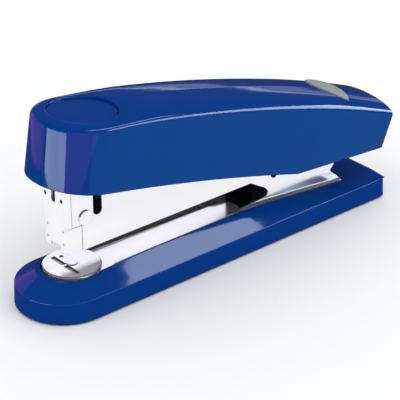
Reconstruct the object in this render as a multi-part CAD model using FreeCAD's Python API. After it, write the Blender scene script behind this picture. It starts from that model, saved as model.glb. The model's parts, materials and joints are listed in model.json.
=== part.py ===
import FreeCAD, Part
import math
import os

# Desktop stapler, millimetres. X runs along the stapler from nose to tail, Y across it, Z up.
# The origin is on the table under the middle of the stapler. Every station along X is written
# as its distance from the base's front tip and turned into X by at().
os.makedirs("parts", exist_ok=True)
V = FreeCAD.Vector
ACROSS = V(0, 1, 0)
UP = V(0, 0, 1)

OVERALL = 193.5             # base tip to cap tail
RUN = 0.05                  # radial running clearance of every hinge

# base
BASE_LENGTH = 188.5
BASE_HALF = 21.5
SKIRT_TOP = 9.85
SOLE = 1.0
SHELL_WALL = 2.4
TROUGH_HALF = 12.5
FRONT_FLOOR = 6.4
REAR_FLOOR = 8.9
DISC_AT = 25.0
DISC_R = 12.4
DISC_TOP = 16.3
DISC_THICK = 1.7
PLATE_THICK = 1.2
SCREW_R = 1.2               # every self-tapping screw in the base
PLATE_SCREWS = [(60, 14), (60, -14), (172, 14), (172, -14)]
CHANNEL_SCREWS = [60, 138]

# lower channel with the ears
CHANNEL_FRONT = 40.0
CHANNEL_REAR = 169.7
EAR_OUT = 10.2
EAR_IN = 9.2
PIVOT_AT = 162.0
PIVOT_Z = 34.0
PIVOT_R = 2.4
STOP_AT = 128.3
STOP_Z = 26.8
STOP_R = 1.6
CHANNEL_LOW = REAR_FLOOR + 0.1
CHANNEL_FLOOR = 1.0
LINER_HALF = 8.35
LIFT_SPRING_AT = 146.0
PIN_PROUD = 0.3             # how far the plain pins stand out of the ears

# anvil tongue
TONGUE_TOP = 12.5
TONGUE_THICK = 0.8
ANVIL_PIN_AT = 104.0
ANVIL_PIN_Z = 10.9
ANVIL_PIN_R = 0.8
SLOT_AT = 21.5              # clinch slot under the staple line
TONGUE_LUGS = (-5.0, 5.0)
TONGUE_FRONT_HALF = 9.0
TONGUE_REAR_HALF = 5.8
TONGUE_REAR = 109.0
RIVET_R = 1.8               # rivet that joins disc and tongue

# magazine and head
MAG_HALF = 8.0
SHEET = 0.8
MAG_BOTTOM = 25.4
HEAD_FACE = 17.1
HEAD_LOW = 37.2
HEAD_TOP = 60.0
PIN_SLOT_AT = 33.15
PIN_SLOT_HALF = 2.25
PIN_SLOT_LOW = 39.3
PIN_SLOT_HIGH = 58.6
BLADE_AT = 18.5
BLADE_THICK = 0.7
BLADE_LOW = 40.9
BLADE_TOP = 68.0
FINGER_Z = 64.5
GUIDE_RIVET_AT = 26.9
GUIDE_RIVET_Z = 40.0
GUIDE_RIVET_R = 1.6

# drawer
DRAWER_FACE = 17.5
DRAWER_REAR = 118.0
ROD_Z = 30.2
ROD_R = 1.2
BAY_IN = 6.6                # staples with a 13 mm crown drop in between the walls
BAY_OUT = 7.05

# cap
CREASE_FRONT = (12.8, 84.9)
CREASE_MID = (102.8, 68.6)
CREASE_TAIL = (193.5, 40.1)
CREASE_HALF = 19.4
CROWN = 5.3
DRAFT = 0.054
CAP_WALL = 2.2
RIM_FRONT = (6.0, 58.9)
RIM_MID = (76.6, 44.7)
RIM_KINK = (132.8, 29.5)
RIM_TAIL = (186.0, 25.2)
NOSE_LEAN = 0.155
NOSE_CORNER = 18.0
NOSE_BOW = 0.3
FLAT_FRONT = (12.8, 85.6)   # the crown starts flat at the nose and rises behind the pad
FLAT_MID = (45.0, 83.7)
FLAT_END = (85.0, 78.4)
PAD_AT = 33.0
PAD_R = 15.2
PAD_RISE = 0.65
BUTTON_AT = 169.0
BUTTON_REACH = 14.2
BUTTON_HALF = 5.2
SLOT_PIN_AT = 33.9
SLOT_PIN_Z = 55.2
SLOT_PIN_R = 1.4
LATCH_AT = 150.0
LATCH_Z = 33.0
LATCH_PIN_R = 1.2
LATCH_HALF = 2.4
CAP_SCREWS = (62.0, 118.0)
CAP_SCREW_R = 1.3
LEVER_DEPTH = 9.0           # crown of the cap down to the lever's top face
LEVER_OUT = 9.0
LEVER_SHEET = 0.8
LEVER_ROOF = 1.2
FINGER_HALF = 1.1


def at(distance):
    """X of a station, from its distance behind the base's front tip."""
    return distance - OVERALL / 2


def box(d0, d1, y0, y1, z0, z1):
    return Part.makeBox(d1 - d0, y1 - y0, z1 - z0, V(at(d0), y0, z0))


def upright(d, y, z0, z1, radius):
    return Part.makeCylinder(radius, z1 - z0, V(at(d), y, z0), UP)


def crosswise(d, z, y0, y1, radius):
    return Part.makeCylinder(radius, y1 - y0, V(at(d), y0, z), ACROSS)


def lengthwise(d0, d1, y, z, radius):
    return Part.makeCylinder(radius, d1 - d0, V(at(d0), y, z), V(1, 0, 0))


def side_face(points):
    """Flat face in the XZ plane from (distance, z) corners."""
    corners = [V(at(d), 0, z) for d, z in points]
    return Part.Face(Part.makePolygon(corners + corners[:1]))


def plate(points, y0, y1):
    """Side outline given thickness across the stapler."""
    face = side_face(points)
    face.translate(V(0, y0, 0))
    return face.extrude(V(0, y1 - y0, 0))


def both_sides(shape):
    """The shape and its mirror image across the middle plane."""
    return [shape, shape.mirror(V(0, 0, 0), ACROSS)]


def fuse(shapes):
    return shapes[0].fuse(shapes[1:]).removeSplitter()


def slot_through(d, z0, z1, half, y0, y1):
    """Upright slot with round ends, cut across the stapler."""
    middle = box(d - half, d + half, y0, y1, z0 + half, z1 - half)
    ends = [crosswise(d, z, y0, y1, half) for z in (z0 + half, z1 - half)]
    return fuse([middle] + ends)


def save(name, *solids):
    shape = solids[0] if len(solids) == 1 else Part.makeCompound(list(solids))
    shape.exportStep("parts/" + name + ".step")


def tube(centre_d, y, z0, z1, outer, wire):
    """Coil spring as the sleeve that its turns fill."""
    sleeve = upright(centre_d, y, z0, z1, outer)
    return sleeve.cut(upright(centre_d, y, z0 - 1, z1 + 1, outer - wire))


# ---------------------------------------------------------------- base

def base_outline(inset, z):
    """Plan of the base: a half circle in front and small round corners behind."""
    half = BASE_HALF - inset
    corner = 2.5
    rear = BASE_LENGTH - inset
    side_start = V(at(BASE_HALF), half, z)
    side_end = V(at(rear - corner), half, z)
    diagonal = corner * (1 - math.sqrt(0.5))
    corner_mid = V(at(rear - diagonal), half - diagonal, z)
    rear_end = V(at(rear), half - corner, z)
    tip = V(at(inset), 0, z)
    edges = [
        Part.LineSegment(side_start, side_end).toShape(),
        Part.Arc(side_end, corner_mid, rear_end).toShape(),
        Part.LineSegment(rear_end, V(rear_end.x, -rear_end.y, z)).toShape(),
        Part.Arc(
            V(rear_end.x, -rear_end.y, z),
            V(corner_mid.x, -corner_mid.y, z),
            V(side_end.x, -side_end.y, z),
        ).toShape(),
        Part.LineSegment(V(side_end.x, -half, z), V(side_start.x, -half, z)).toShape(),
        Part.Arc(V(side_start.x, -half, z), tip, side_start).toShape(),
    ]
    return Part.Wire(edges)


def half_disc(centre, radius, z):
    """Front half of a circle closed by its diameter."""
    ends = [V(at(centre), radius, z), V(at(centre), -radius, z)]
    arc = Part.Arc(ends[0], V(at(centre - radius), 0, z), ends[1]).toShape()
    return Part.Wire([arc, Part.LineSegment(ends[1], ends[0]).toShape()])


def shoulder_section(d, top):
    half = BASE_HALF - 0.3
    points = [(-half, SKIRT_TOP), (half, SKIRT_TOP), (TROUGH_HALF, top), (-TROUGH_HALF, top)]
    corners = [V(at(d), y, z) for y, z in points]
    return Part.makePolygon(corners + corners[:1])


def base_shell():
    skirt = Part.makeLoft([base_outline(0, SOLE), base_outline(0.3, SKIRT_TOP)], True, True)
    front = Part.makeLoft(
        [half_disc(BASE_HALF, BASE_HALF - 0.3, SKIRT_TOP), half_disc(BASE_HALF, TROUGH_HALF, 15.2)],
        True,
        True,
    )
    stations = [(BASE_HALF, 15.2), (56, 16.3), (106, 16.2), (124, 15.2)]
    stations += [(166, 11.0), (BASE_LENGTH - 0.4, 10.7)]
    deck = [
        Part.makeLoft([shoulder_section(*a), shoulder_section(*b)], True, True)
        for a, b in zip(stations, stations[1:])
    ]
    shell = fuse([skirt, front] + deck)
    hollow = Part.Face(base_outline(SHELL_WALL, SOLE - 0.5)).extrude(V(0, 0, 4.4 - SOLE + 0.5))
    upper_hollow = box(44, BASE_LENGTH - 5, -17, 17, 4, REAR_FLOOR - 2)
    bore = upright(DISC_AT, 0, FRONT_FLOOR, 30, DISC_R + 0.8)
    trough_half = TROUGH_HALF - 0.8
    front_trough = box(DISC_AT, CHANNEL_FRONT, -trough_half, trough_half, FRONT_FLOOR, 30)
    rear_trough = box(
        CHANNEL_FRONT, CHANNEL_REAR + 1, -trough_half, trough_half, REAR_FLOOR, 30
    )
    shell = shell.cut([hollow, upper_hollow, bore, front_trough, rear_trough])
    plate_top = SOLE + PLATE_THICK
    posts = [upright(d, y, plate_top, 7.5, 3.2) for d, y in PLATE_SCREWS]
    shell = fuse([shell] + posts)
    holes = [upright(d, y, plate_top - 0.2, 6.4, SCREW_R) for d, y in PLATE_SCREWS]
    holes += [upright(d, 0, 4.0, 20, SCREW_R) for d in CHANNEL_SCREWS]
    return shell.cut(holes)


def bottom_plate():
    blank = Part.Face(base_outline(SHELL_WALL + 0.2, SOLE)).extrude(V(0, 0, PLATE_THICK))
    return blank.cut([upright(d, y, 0, 5, SCREW_R) for d, y in PLATE_SCREWS])


def plate_screws():
    return [upright(d, y, SOLE, 6.2, SCREW_R) for d, y in PLATE_SCREWS]


def sole_pad():
    return Part.Face(base_outline(0.9, 0)).extrude(V(0, 0, SOLE))


def ear_side():
    """One side wall of the lower channel, with the mouth in front and the pivot ear behind."""
    low = CHANNEL_LOW
    rail = [(CHANNEL_FRONT, low), (CHANNEL_FRONT, 14.6), (107, 14.9), (110.5, 16.1), (124, 17.4)]
    mouth = [(125.2, 19.5), (123.3, 21.9), (114.4, 27.1), (104, 33.1)]
    top = [(112, 36.5), (150, 40.5), (PIVOT_AT, 41), (CHANNEL_REAR - 1.2, 37)]
    tail = [(CHANNEL_REAR - 1.2, 24), (165, 19.8), (162.9, 17.3), (CHANNEL_REAR, 11.4)]
    outline = rail + mouth + top + tail + [(CHANNEL_REAR, low)]
    wall = plate(outline, EAR_IN, EAR_OUT)
    lip = [(110, 15.4), (CHANNEL_REAR, 10.9), (CHANNEL_REAR, 10.1), (110, 14.6)]
    wall = fuse([wall, plate(lip, EAR_OUT, EAR_OUT + 1.2)])
    holes = [
        crosswise(PIVOT_AT, PIVOT_Z, 8, 12, PIVOT_R),
        crosswise(STOP_AT, STOP_Z, 8, 12, STOP_R),
        crosswise(ANVIL_PIN_AT, ANVIL_PIN_Z, 8, 12, ANVIL_PIN_R),
    ]
    return wall.cut(holes)


def lower_channel():
    low = CHANNEL_LOW
    floor = box(CHANNEL_FRONT, CHANNEL_REAR, -EAR_IN, EAR_IN, low, low + CHANNEL_FLOOR)
    windows = [
        box(ANVIL_PIN_AT - 3, ANVIL_PIN_AT + 3, y - 1.5, y + 1.5, low - 1, low + 2)
        for y in TONGUE_LUGS
    ]
    windows += [upright(d, 0, 8, 20, SCREW_R) for d in CHANNEL_SCREWS]
    return fuse([floor.cut(windows)] + both_sides(ear_side()))


def channel_screws():
    """Pan-head screws that hold the channel down in the shell."""
    seat = CHANNEL_LOW + CHANNEL_FLOOR
    shanks = [upright(d, 0, 5.2, seat, SCREW_R) for d in CHANNEL_SCREWS]
    heads = [upright(d, 0, seat, seat + 0.5, 2 * SCREW_R) for d in CHANNEL_SCREWS]
    return [fuse([s, h]) for s, h in zip(shanks, heads)]


def rear_liner():
    """Black moulding between the ears that carries the lift spring."""
    low = CHANNEL_LOW + CHANNEL_FLOOR
    side = [(117, low), (117, 24), (126, 25.2), (157, 25.2), (160, 15), (160, low)]
    cheek = plate(side, LINER_HALF, EAR_IN - 0.1)
    cheek = cheek.cut(crosswise(STOP_AT, STOP_Z, 8, 12, STOP_R + 0.1))
    floor = box(117, 160, -LINER_HALF, LINER_HALF, low, low + 3)
    floor = floor.cut(upright(CHANNEL_SCREWS[1], 0, low - 1, low + 1, 2.6))
    seat = upright(LIFT_SPRING_AT, 0, low + 3, low + 5.5, 2.6)
    return fuse([floor, seat] + both_sides(cheek))


def lift_spring():
    seat = CHANNEL_LOW + CHANNEL_FLOOR + 3
    return tube(LIFT_SPRING_AT, 0, seat, MAG_BOTTOM - 0.1, 4.6, 1.1)


def main_pivot_pin():
    shank = crosswise(PIVOT_AT, PIVOT_Z, -EAR_OUT, EAR_OUT, PIVOT_R)
    head = crosswise(PIVOT_AT, PIVOT_Z, EAR_OUT, EAR_OUT + 1.2, 4.0)
    return fuse([shank] + both_sides(head))


def stop_pin():
    reach = EAR_OUT + PIN_PROUD
    return crosswise(STOP_AT, STOP_Z, -reach, reach, STOP_R)


def anvil_pin():
    reach = EAR_OUT + PIN_PROUD
    return crosswise(ANVIL_PIN_AT, ANVIL_PIN_Z, -reach, reach, ANVIL_PIN_R)


def clinch_wings():
    """Two folding wings on one foot; they stand still while the anvil sinks past them."""
    foot = box(17.5, 24.5, -9, 9, FRONT_FLOOR, 9.4)
    wing = box(SLOT_AT - 0.5, SLOT_AT + 0.5, 1.0, 8.2, 9.0, 15.7)
    return fuse([foot] + both_sides(wing))


def anvil_spring():
    return tube(34.0, 0, FRONT_FLOOR, TONGUE_TOP - TONGUE_THICK - 0.1, 3.6, 0.9)


# ---------------------------------------------------------------- anvil

def clinch_slots():
    """Two slots for the wings, tapered halves of one transverse line."""
    near = box(SLOT_AT - 1.1, SLOT_AT + 1.1, -8.8, -0.5, 8, 20)
    return [near, near.mirror(V(0, 0, 0), ACROSS)]


def anvil_tongue():
    low = TONGUE_TOP - TONGUE_THICK
    wide = TONGUE_FRONT_HALF
    narrow = TONGUE_REAR_HALF
    front = [V(at(DISC_AT), wide, low), V(at(DISC_AT - wide), 0, low), V(at(DISC_AT), -wide, low)]
    rear = [V(at(TONGUE_REAR), -narrow, low), V(at(TONGUE_REAR + narrow), 0, low)]
    rear.append(V(at(TONGUE_REAR), narrow, low))
    edges = [
        Part.Arc(*front).toShape(),
        Part.LineSegment(front[2], rear[0]).toShape(),
        Part.Arc(*rear).toShape(),
        Part.LineSegment(rear[2], front[0]).toShape(),
    ]
    tongue = Part.Face(Part.Wire(edges)).extrude(V(0, 0, TONGUE_THICK))
    lugs = []
    for y in TONGUE_LUGS:
        lug = crosswise(ANVIL_PIN_AT, ANVIL_PIN_Z, y - 0.9, y + 0.9, 1.6)
        neck = box(ANVIL_PIN_AT - 1.6, ANVIL_PIN_AT + 1.6, y - 0.9, y + 0.9, ANVIL_PIN_Z, low)
        lugs += [lug, neck]
    tongue = fuse([tongue] + lugs)
    bore = crosswise(ANVIL_PIN_AT, ANVIL_PIN_Z, -8, 8, ANVIL_PIN_R + RUN)
    return tongue.cut([bore, upright(DISC_AT, 0, 5, 20, RIVET_R)] + clinch_slots())


def anvil_disc():
    low = DISC_TOP - DISC_THICK
    disc = upright(DISC_AT, 0, low, DISC_TOP, DISC_R)
    rim = [e for e in disc.Edges if e.BoundBox.ZMin > DISC_TOP - 0.01]
    disc = disc.makeChamfer(0.4, rim)
    hub = upright(DISC_AT, 0, TONGUE_TOP, low, 6.5)
    disc = fuse([disc, hub])
    locating = upright(DISC_AT - 0.3, 6.9, low - 1, 20, 0.9)
    rivet_hole = upright(DISC_AT, 0, 5, 20, RIVET_R)
    return disc.cut([locating, rivet_hole] + clinch_slots())


def disc_rivet():
    shank = upright(DISC_AT, 0, TONGUE_TOP - TONGUE_THICK - 0.5, DISC_TOP, RIVET_R)
    head = upright(DISC_AT, 0, DISC_TOP, DISC_TOP + 0.35, 2.5)
    return fuse([shank, head])


# ---------------------------------------------------------------- magazine arm

def frame_outline():
    """Side of the magazine: low edge level, tall head in front, ear round the pivot behind."""
    low = [(25.2, MAG_BOTTOM), (170, MAG_BOTTOM)]
    tail = [(170, 33), (168.5, 39), (160, 40.2), (140, 40.2)]
    top = [(100, 44.5), (62, 52.5), (40, HEAD_TOP), (20.2, HEAD_TOP)]
    mouth = [(20.2, HEAD_LOW), (25.2, HEAD_LOW)]
    return low + tail + top + mouth


def magazine_frame():
    side = plate(frame_outline(), MAG_HALF - SHEET, MAG_HALF)
    slot = slot_through(PIN_SLOT_AT, PIN_SLOT_LOW, PIN_SLOT_HIGH, PIN_SLOT_HALF, 6, 10)
    stop_slot = slot_through(STOP_AT - 0.2, STOP_Z - 2.05, STOP_Z + 4.1, 2.0, 6, 10)
    bores = [
        crosswise(PIVOT_AT, PIVOT_Z, 6, 10, PIVOT_R + RUN),
        crosswise(LATCH_AT, LATCH_Z, 6, 10, LATCH_PIN_R),
        crosswise(GUIDE_RIVET_AT, GUIDE_RIVET_Z, 6, 10, GUIDE_RIVET_R),
        slot,
        stop_slot,
    ]
    side = side.cut(bores)
    inner = MAG_HALF - SHEET
    roof = [
        plate([(62, 51.7), (62, 52.5), (100, 44.5), (100, 43.7)], -inner, inner),
        plate([(100, 43.7), (100, 44.5), (140, 40.2), (140, 39.4)], -inner, inner),
    ]
    lips = both_sides(box(26, 117, 6.3, inner, MAG_BOTTOM, MAG_BOTTOM + 0.5))
    seat = box(138, 156, -inner, inner, MAG_BOTTOM, MAG_BOTTOM + SHEET)
    return fuse(both_sides(side) + roof + lips + [seat])


def round_nosed(d0, d1, half, z0, z1, radius):
    """Box whose two upright front edges are rounded."""
    body = box(d0, d1, -half, half, z0, z1)
    nose = [e for e in body.Edges if e.BoundBox.XMax < at(d0) + 0.01 and e.BoundBox.YLength < 0.01]
    return body.makeFillet(radius, nose)


def u_bend(front, rear, outer, wall, z0, z1, corner):
    """Sheet folded round the nose: a front wall with two side flanges and round corners."""
    outside = round_nosed(front, rear, outer, z0, z1, corner)
    inside = round_nosed(front + wall, rear + 1, outer - wall, z0, z1, corner - wall)
    return outside.cut(inside)


def dimples(face, places):
    return [Part.makeSphere(0.7, V(at(face - 0.35), y, z)) for y, z in places]


def head_plate():
    sheet = u_bend(HEAD_FACE, 20.0, MAG_HALF, SHEET, HEAD_LOW, HEAD_TOP, 2.4)
    slot_half = 1.35
    slot_low = 48.65
    window = box(HEAD_FACE - 1, HEAD_FACE + 2, -slot_half, slot_half, slot_low, HEAD_TOP + 1)
    foot = lengthwise(HEAD_FACE - 1, HEAD_FACE + 2, 0, slot_low, slot_half)
    side_hole = [lengthwise(HEAD_FACE - 1, HEAD_FACE + 2, y, 49.5, 0.9) for y in (-5.4, 5.4)]
    return sheet.cut([window, foot] + side_hole)


def driver_guide():
    """Moulded block behind the blade that keeps it straight."""
    half = MAG_HALF - SHEET - 0.1
    body = box(19.9, 30.2, -half, half, 38.2, 57)
    finger_way = box(19, 27, -2.2, 2.2, 44, 60)
    cross = crosswise(GUIDE_RIVET_AT, GUIDE_RIVET_Z, -10, 10, GUIDE_RIVET_R)
    return body.cut([finger_way, cross])


def guide_rivet():
    proud = 0.7
    hollow_r = 9.0
    hollow_y = MAG_HALF + proud + hollow_r - 0.3
    shank = crosswise(GUIDE_RIVET_AT, GUIDE_RIVET_Z, -MAG_HALF, MAG_HALF, GUIDE_RIVET_R)
    head = crosswise(GUIDE_RIVET_AT, GUIDE_RIVET_Z, MAG_HALF, MAG_HALF + proud, 3.3)
    dish = Part.makeSphere(hollow_r, V(at(GUIDE_RIVET_AT), hollow_y, GUIDE_RIVET_Z))
    return fuse([shank] + both_sides(head.cut(dish)))


def latch():
    """Rocker that holds the drawer: hook in front, thumb end under the button behind."""
    outline = [(116, 34.4), (116, 36.4), (146, 36.2), (158, 40.6), (171, 40.6), (171, 39.2)]
    outline += [(158, 38.6), (152, 31.4), (148, 31.4), (143, 34.4)]
    body = plate(outline, -LATCH_HALF, LATCH_HALF)
    return body.cut(crosswise(LATCH_AT, LATCH_Z, -3, 3, LATCH_PIN_R + RUN))


def latch_pin():
    return crosswise(LATCH_AT, LATCH_Z, -MAG_HALF, MAG_HALF, LATCH_PIN_R)


def latch_spring():
    """Short coil under the magazine's roof that keeps the hook down."""
    return tube(135.0, 0, 36.4, 39.6, 2.0, 0.6)


# ---------------------------------------------------------------- driver

def driver_blade():
    blade = box(BLADE_AT, BLADE_AT + BLADE_THICK, -6.4, 6.4, BLADE_LOW, BLADE_TOP)
    window = box(BLADE_AT - 1, BLADE_AT + 2, -1.6, 1.6, FINGER_Z - 1.7, FINGER_Z + 1.7)
    return blade.cut(window)


# ---------------------------------------------------------------- drawer

def drawer_head():
    sheet = u_bend(DRAWER_FACE, 24.9, MAG_HALF, SHEET, 26.2, 37.0, 2.2)
    notch = box(DRAWER_FACE - 1, DRAWER_FACE + 2, -3.5, 3.5, 25, 28.3)
    dents = dimples(DRAWER_FACE, [(y, z) for y in (-5.3, 5.3) for z in (29.8, 35.5)])
    return sheet.cut([notch] + dents)


def drawer_channel():
    low = MAG_BOTTOM + 0.7
    floor = box(19.9, DRAWER_REAR, -BAY_OUT, BAY_OUT, low, low + 0.7)
    wall = box(19.9, DRAWER_REAR, BAY_IN, BAY_OUT, low, 33.8)
    rear = box(DRAWER_REAR - 1.2, DRAWER_REAR, -BAY_OUT, BAY_OUT, low, 34.0)
    bridge = box(22.0, 23.0, -4, 4, low, 31.8)
    tabs = both_sides(box(22.0, 24.9, BAY_IN, MAG_HALF - SHEET, 27.4, 31.4))
    rod_hole = lengthwise(20, DRAWER_REAR + 1, 0, ROD_Z, ROD_R)
    return fuse([floor, rear, bridge] + both_sides(wall) + tabs).cut(rod_hole)


def guide_rod():
    return lengthwise(21.4, DRAWER_REAR + 0.4, 0, ROD_Z, ROD_R)


def pusher():
    body = box(23.4, 35.0, -6.3, 6.3, MAG_BOTTOM + 1.6, 33.6)
    nose = box(20.2, 23.4, -6.3, 6.3, 32.0, 33.6)
    return fuse([body, nose]).cut(lengthwise(18, 40, 0, ROD_Z, ROD_R + 0.1))


def pusher_spring():
    sleeve = lengthwise(35.2, DRAWER_REAR - 1.3, 0, ROD_Z, 2.2)
    return sleeve.cut(lengthwise(34, DRAWER_REAR, 0, ROD_Z, 1.5))


# ---------------------------------------------------------------- handle

def crease_arc():
    points = [V(at(d), 0, z) for d, z in (CREASE_FRONT, CREASE_MID, CREASE_TAIL)]
    return Part.Arc(*points).toShape().Curve


def crease_point(d, rise=0):
    """Point above the crease line, measured square to the cap's top."""
    arc = crease_arc()
    radius = arc.Radius
    angle = math.asin((at(d) - arc.Center.x) / radius)
    reach = radius + rise
    return V(arc.Center.x + reach * math.sin(angle), 0, arc.Center.z + reach * math.cos(angle))


def cap_normal(d):
    return (crease_point(d, 1) - crease_point(d)).normalize()


def cap_sweep(inset):
    """Constant section of walls and domed top, swung along the crease arc."""
    arc = crease_arc()
    centre = arc.Center
    crease = arc.Radius - inset
    depth = 36
    half = CREASE_HALF - inset
    foot_half = half + depth * DRAFT
    corners = [V(centre.x, y, centre.z + r) for y, r in (
        (half, crease), (foot_half, crease - depth), (-foot_half, crease - depth), (-half, crease))]
    lines = [Part.LineSegment(a, b).toShape() for a, b in zip(corners, corners[1:])]
    crown = V(centre.x, 0, centre.z + crease + CROWN)
    top = Part.Arc(corners[3], crown, corners[0]).toShape()
    face = Part.Face(Part.Wire(lines + [top]))
    start = math.degrees(math.asin((at(4) - centre.x) / arc.Radius))
    end = math.degrees(math.asin((at(205) - centre.x) / arc.Radius))
    face.rotate(centre, ACROSS, start)
    return face.revolve(centre, ACROSS, end - start)


def nose_outline(z, inset):
    """Plan of the cap at one height: bowed front, round corners, straight sides."""
    drop = CREASE_FRONT[1] - z
    front = CREASE_FRONT[0] - NOSE_LEAN * drop + inset
    half = CREASE_HALF + 0.25 + DRAFT * drop - inset
    corner = NOSE_CORNER - inset
    shoulder = front + NOSE_BOW
    bend = corner * (1 - math.sqrt(0.5))
    far = 230
    a = V(at(shoulder), corner - half, z)
    b = V(at(shoulder), half - corner, z)
    c = V(at(shoulder + corner), half, z)
    d = V(at(far), half, z)
    edges = [
        Part.Arc(a, V(at(front), 0, z), b).toShape(),
        Part.Arc(b, V(at(shoulder + bend), half - bend, z), c).toShape(),
        Part.LineSegment(c, d).toShape(),
        Part.LineSegment(d, V(d.x, -d.y, z)).toShape(),
        Part.LineSegment(V(d.x, -d.y, z), V(c.x, -c.y, z)).toShape(),
        Part.Arc(V(c.x, -c.y, z), V(at(shoulder + bend), bend - half, z), a).toShape(),
    ]
    return Part.Wire(edges)


def cap_mask(inset):
    """Side silhouette: everything above the rim and ahead of the tail."""
    def point(pair):
        return V(at(pair[0]), -40, pair[1])
    drop = 5 if inset else 0
    front = V(at(RIM_FRONT[0]), -40, RIM_FRONT[1] - drop)
    middle = V(at(RIM_MID[0]), -40, RIM_MID[1] - drop)
    kink = V(at(RIM_KINK[0]), -40, RIM_KINK[1] - drop)
    foot = V(at(RIM_TAIL[0] - inset), -40, RIM_TAIL[1] - drop)
    heel = V(at(CREASE_TAIL[0] - inset), -40, CREASE_TAIL[1])
    thin = 2 * inset
    flat = [V(at(d), -40, z - thin) for d, z in (FLAT_END, FLAT_MID, FLAT_FRONT)]
    lift = V(flat[0].x, -40, 120)
    rear = [kink, foot, heel, V(heel.x, -40, 120), lift, flat[0]]
    nose = [flat[2], V(at(0), -40, flat[2].z), V(at(0), -40, front.z), front]
    edges = [Part.Arc(front, middle, kink).toShape(), Part.Arc(*flat).toShape()]
    for chain in (rear, nose):
        edges += [Part.LineSegment(a, b).toShape() for a, b in zip(chain, chain[1:])]
    return Part.Face(Part.Wire(Part.__sortEdges__(edges))).extrude(V(0, 80, 0))


def cap_form(inset):
    body = cap_sweep(inset)
    nose = Part.makeLoft([nose_outline(18, inset), nose_outline(110, inset)], True, True)
    return body.common(nose).common(cap_mask(inset))


def lens(d, rise, reach, half, thickness):
    """Pointed oval across the cap, standing square to its top."""
    side = (reach ** 2 - half ** 2) / (2 * half)
    radius = side + half
    base = crease_point(d, rise)
    normal = cap_normal(d)
    along = ACROSS.cross(normal).normalize()
    drums = [
        Part.makeCylinder(radius, thickness, base + along * side * sign, normal)
        for sign in (-1, 1)
    ]
    return drums[0].common(drums[1])


def cap_shell():
    shell = cap_form(0).cut(cap_form(CAP_WALL))
    normal = cap_normal(PAD_AT)
    pad = Part.makeCylinder(PAD_R, 10, crease_point(PAD_AT, PAD_RISE), normal)
    button_hole = lens(BUTTON_AT, -8, BUTTON_REACH + 0.3, BUTTON_HALF + 0.3, 20)
    shell = shell.cut([pad, button_hole])
    bosses = []
    for d in CAP_SCREWS:
        under = crease_point(d, CROWN - CAP_WALL - 0.3)
        bosses.append(Part.makeCylinder(3.2, LEVER_DEPTH - 0.4, under, cap_normal(d) * -1))
    shell = fuse([shell] + bosses)
    drilled = [
        Part.makeCylinder(CAP_SCREW_R, 12, crease_point(d, CROWN - LEVER_DEPTH - 8), cap_normal(d))
        for d in CAP_SCREWS
    ]
    return shell.cut(drilled)


def lever():
    """Folded steel channel under the cap that carries the finger and swings on the pivot."""
    top = [crease_point(d, CROWN - LEVER_DEPTH - CAP_WALL) for d in (19, 62, 118, 156)]
    top = [(p.x + OVERALL / 2, p.z) for p in top]
    under = [(d, z - LEVER_ROOF) for d, z in reversed(top)]
    roof = plate(top + under, -LEVER_OUT, LEVER_OUT)
    ear = [(160, 41.5), (PIVOT_AT + 5, 39), (PIVOT_AT + 5, 31)]
    low = [(150, 29.5), (120, 40), (62, 55.5), (37.5, 62), (36.5, 52.6)]
    low += [(31.9, 52.6), (31.9, 60), (30.5, 66), (19, 71)]
    side = plate(top + ear + low, LEVER_OUT - LEVER_SHEET, LEVER_OUT)
    side = side.cut([
        crosswise(PIVOT_AT, PIVOT_Z, 7, 10, PIVOT_R + RUN),
        crosswise(SLOT_PIN_AT, SLOT_PIN_Z, 7, 10, SLOT_PIN_R),
    ])
    roof_z = top[0][1]
    tab = box(24.5, 25.7, -FINGER_HALF, FINGER_HALF, FINGER_Z - 1, roof_z - 1)
    finger = box(18.3, 25.7, -FINGER_HALF, FINGER_HALF, FINGER_Z - 1, FINGER_Z + 1)
    body = fuse([roof, tab, finger] + both_sides(side))
    holes = [
        Part.makeCylinder(CAP_SCREW_R, 30, crease_point(d, CROWN - LEVER_DEPTH - 20), cap_normal(d))
        for d in CAP_SCREWS
    ]
    return body.cut(holes)


def cap_screws():
    screws = []
    for d in CAP_SCREWS:
        normal = cap_normal(d)
        seat = crease_point(d, CROWN - LEVER_DEPTH - CAP_WALL - LEVER_ROOF - 0.3)
        shank = Part.makeCylinder(CAP_SCREW_R, 6, seat, normal)
        head = Part.makeCylinder(2 * CAP_SCREW_R, 1.4, seat, normal * -1)
        screws.append(fuse([shank, head]))
    return screws


def slot_pin():
    reach = LEVER_OUT + PIN_PROUD
    return crosswise(SLOT_PIN_AT, SLOT_PIN_Z, -reach, reach, SLOT_PIN_R)


def return_spring():
    return tube(84.0, 0, 49.0, 64.0, 4.0, 1.0)


# ---------------------------------------------------------------- button

def release_button():
    pad = lens(BUTTON_AT, CROWN - 4.2, BUTTON_REACH, BUTTON_HALF, 6)
    roof = Part.makeSphere(60, crease_point(BUTTON_AT, CROWN + 0.9 - 60))
    pad = pad.common(roof)
    stem_top = crease_point(BUTTON_AT, CROWN - 4.2)
    stem = Part.makeCylinder(1.8, 9.4, stem_top, cap_normal(BUTTON_AT) * -1)
    return fuse([pad, stem])


SINGLE = [
    base_shell, bottom_plate, sole_pad, lower_channel, rear_liner, lift_spring, main_pivot_pin,
    stop_pin, anvil_pin, clinch_wings, anvil_spring, anvil_tongue, anvil_disc, disc_rivet,
    magazine_frame, head_plate, driver_guide, guide_rivet, latch, latch_pin, latch_spring,
    driver_blade, drawer_head, drawer_channel, guide_rod, pusher, pusher_spring, cap_shell, lever,
    slot_pin, return_spring, release_button,
]
GROUPS = [plate_screws, channel_screws, cap_screws]

for piece in SINGLE:
    save(piece.__name__, piece())
for group in GROUPS:
    save(group.__name__, *group())
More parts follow.
